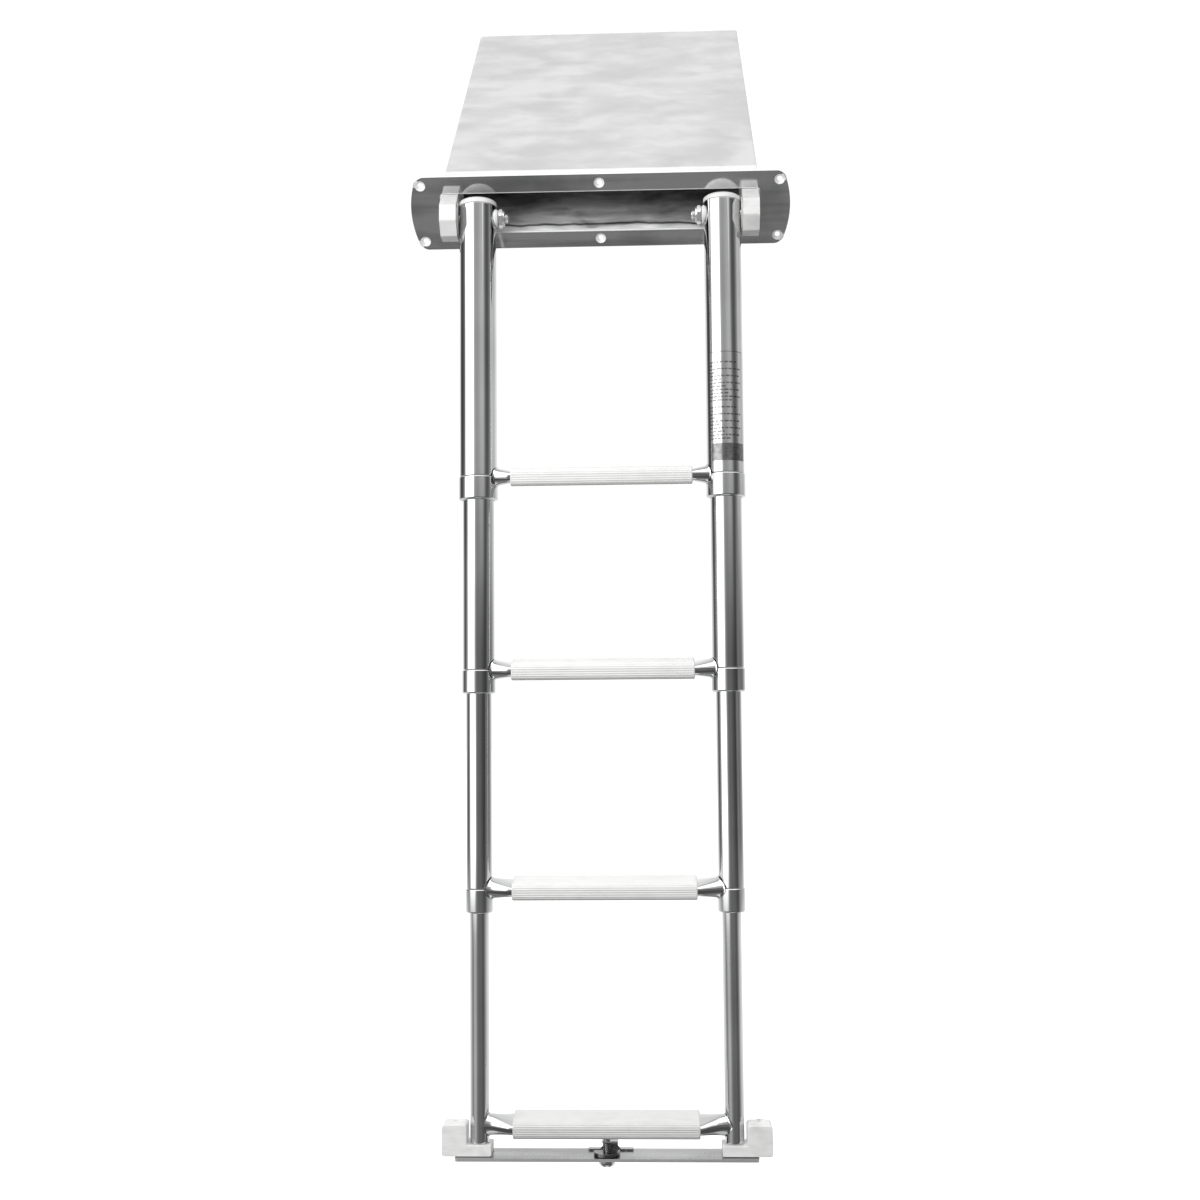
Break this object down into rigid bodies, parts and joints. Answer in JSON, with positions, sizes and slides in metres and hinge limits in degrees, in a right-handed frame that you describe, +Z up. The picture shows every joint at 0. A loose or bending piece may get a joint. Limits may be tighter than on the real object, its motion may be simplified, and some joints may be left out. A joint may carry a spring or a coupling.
{
  "type": "boat boarding ladder",
  "caption": "Telescoping drop ladder with polished steel rails and ribbed white treads, hung by a swing pivot from a flanged slide-in cassette, with a turn latch at its foot",
  "frame": {"origin": "centre of the flange's back face, in the middle of the cassette mouth", "axes": "+Z up along the hanging rails, +X to the right, +Y into the boat; the cassette slopes up and back at 42 degrees"},
  "size_m": [0.394, 0.4226, 1.3205],
  "materials": {
    "polished_steel": "polished stainless tube and sheet with faint drawing marks",
    "fastener_steel": "turned stainless, a little duller than the tubes",
    "white_nylon": "moulded white nylon, satin",
    "white_vinyl": "extruded white vinyl with fine lengthwise ribs"
  },
  "bodies": {
    "cassette": {"flange_plate": "polished_steel", "cassette_shell": "polished_steel", "cassette_rear_panel": "polished_steel", "pivot_block_right": "white_nylon", "pivot_block_left": "white_nylon", "thrust_washer_right": "white_nylon", "thrust_washer_left": "white_nylon", "pivot_bolt_right": "fastener_steel", "pivot_bolt_left": "fastener_steel", "pivot_nut_right": "fastener_steel", "pivot_nut_left": "fastener_steel"},
    "upper_section": {"upper_rail_right": "polished_steel", "upper_rail_left": "polished_steel", "rail_cap_right": "white_nylon", "rail_cap_left": "white_nylon", "upper_collar_right": "polished_steel", "upper_collar_left": "polished_steel", "upper_bushing_right": "white_nylon", "upper_bushing_left": "white_nylon", "saddle_washer_right": "white_nylon", "saddle_washer_left": "white_nylon", "upper_rung": "polished_steel", "upper_tread": "white_vinyl"},
    "second_section": {"second_rail_right": "polished_steel", "second_rail_left": "polished_steel", "second_glide_ring_right": "white_nylon", "second_glide_ring_left": "white_nylon", "second_collar_right": "polished_steel", "second_collar_left": "polished_steel", "second_bushing_right": "white_nylon", "second_bushing_left": "white_nylon", "second_rung": "polished_steel", "second_tread": "white_vinyl"},
    "third_section": {"third_rail_right": "polished_steel", "third_rail_left": "polished_steel", "third_glide_ring_right": "white_nylon", "third_glide_ring_left": "white_nylon", "third_collar_right": "polished_steel", "third_collar_left": "polished_steel", "third_bushing_right": "white_nylon", "third_bushing_left": "white_nylon", "third_rung": "polished_steel", "third_tread": "white_vinyl"},
    "lower_section": {"lower_rail_right": "polished_steel", "lower_rail_left": "polished_steel", "lower_glide_ring_right": "white_nylon", "lower_glide_ring_left": "white_nylon", "lower_rung": "polished_steel", "lower_tread": "white_vinyl", "foot_block_right": "white_nylon", "foot_block_left": "white_nylon", "foot_bolt_right": "fastener_steel", "foot_bolt_left": "fastener_steel", "closing_plate": "polished_steel", "latch_bracket": "polished_steel"},
    "latch": {"latch_knob": "fastener_steel", "latch_cam": "fastener_steel", "latch_spring": "fastener_steel"}
  },
  "joints": [
    {"name": "ladder_swing", "type": "hinge", "parent": "cassette", "child": "upper_section", "pos_m": [0, -0.01338, -0.01204], "axis": [1, 0, 0], "range_deg": [-48, 28]},
    {"name": "second_slide", "type": "slide", "parent": "upper_section", "child": "second_section", "axis": [0, 0, 1], "range_m": [0, 0.16]},
    {"name": "third_slide", "type": "slide", "parent": "second_section", "child": "third_section", "axis": [0, 0, 1], "range_m": [0, 0.182]},
    {"name": "lower_slide", "type": "slide", "parent": "third_section", "child": "lower_section", "axis": [0, 0, 1], "range_m": [0, 0.196]},
    {"name": "latch_turn", "type": "hinge", "parent": "lower_section", "child": "latch", "pos_m": [0, -0.01738, -0.95], "axis": [0, 0, 1], "range_deg": [0, 180]}
  ]
}
